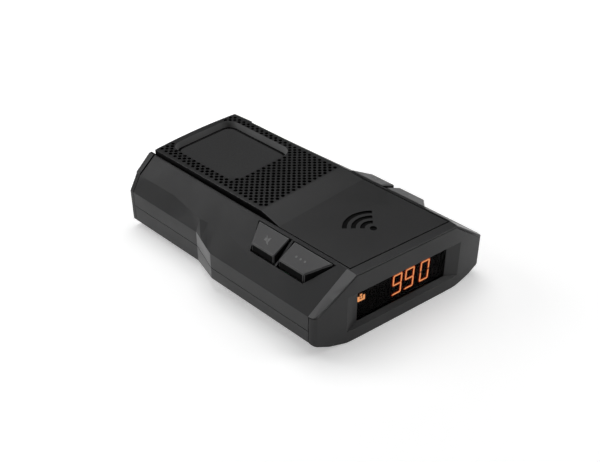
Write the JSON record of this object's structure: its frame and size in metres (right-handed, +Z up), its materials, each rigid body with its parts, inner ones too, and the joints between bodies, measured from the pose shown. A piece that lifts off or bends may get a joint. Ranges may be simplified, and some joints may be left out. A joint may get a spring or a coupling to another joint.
{
  "type": "radar detector",
  "caption": "Flat black windshield radar detector with a perforated top panel, a recessed numeric display, side push buttons and a rear antenna window.",
  "frame": {"origin": "middle of the underside", "axes": "+Y runs from the display end to the antenna end, +X is to the right when facing the display, +Z is up"},
  "size_m": [0.082, 0.1229, 0.0316],
  "materials": {
    "shell_plastic": "fine moulded texture",
    "panel_plastic": "matte, perforated at the rear",
    "button_plastic": "satin",
    "smoked_acrylic": "polished dark smoke",
    "pad_rubber": "fine matte grain",
    "circuit_board": "green solder mask",
    "component_black": "moulded black",
    "connector_ivory": "natural nylon",
    "ceramic": "unglazed patch ceramic",
    "steel": "plated",
    "cast_zinc": "die-cast, as cast",
    "cone_paper": "pressed paper",
    "label_film": "silver polyester film"
  },
  "bodies": {
    "case": {"upper_housing": "shell_plastic", "lower_housing": "shell_plastic", "front_bezel": "shell_plastic", "rear_cap": "shell_plastic", "top_panel": "panel_plastic", "pocket_plate": "pad_rubber", "display_window": "smoked_acrylic", "rear_window": "smoked_acrylic", "laser_lens": "smoked_acrylic", "display_module": "component_black", "display_board": "circuit_board", "display_connector": "connector_ivory", "ribbon_cable": "connector_ivory", "main_connector": "connector_ivory", "main_board": "circuit_board", "gps_antenna": "ceramic", "processor_shield": "steel", "rf_shield": "steel", "backup_cell": "steel", "laser_board": "circuit_board", "horn_antenna": "cast_zinc", "speaker_frame": "component_black", "speaker_cone": "cone_paper", "speaker_magnet": "steel", "power_jack": "component_black", "usb_socket": "steel", "rating_label": "label_film", "button_board_left": "circuit_board", "switch_left_front": "component_black", "switch_left_rear": "component_black", "button_board_right": "circuit_board", "switch_right_front": "component_black", "switch_right_rear": "component_black", "housing_screw_1": "steel", "board_screw_1": "steel", "button_board_screw_1": "steel", "housing_screw_2": "steel", "board_screw_2": "steel", "button_board_screw_2": "steel", "housing_screw_3": "steel", "board_screw_3": "steel", "button_board_screw_3": "steel", "housing_screw_4": "steel", "board_screw_4": "steel", "button_board_screw_4": "steel"},
    "button_left_front": {"button_left_front": "button_plastic", "plunger_left_front": "connector_ivory"},
    "button_left_rear": {"button_left_rear": "button_plastic", "plunger_left_rear": "connector_ivory"},
    "button_right_front": {"button_right_front": "button_plastic", "plunger_right_front": "connector_ivory"},
    "button_right_rear": {"button_right_rear": "button_plastic", "plunger_right_rear": "connector_ivory"}
  },
  "joints": [
    {"name": "press_left_front", "type": "slide", "parent": "case", "child": "button_left_front", "axis": [0, 0, -1], "range_m": [0, 0.0006], "stiffness_N_per_m": 2700},
    {"name": "press_left_rear", "type": "slide", "parent": "case", "child": "button_left_rear", "axis": [0, 0, -1], "range_m": [0, 0.0006], "stiffness_N_per_m": 2700},
    {"name": "press_right_front", "type": "slide", "parent": "case", "child": "button_right_front", "axis": [0, 0, -1], "range_m": [0, 0.0006], "stiffness_N_per_m": 2700},
    {"name": "press_right_rear", "type": "slide", "parent": "case", "child": "button_right_rear", "axis": [0, 0, -1], "range_m": [0, 0.0006], "stiffness_N_per_m": 2700}
  ]
}
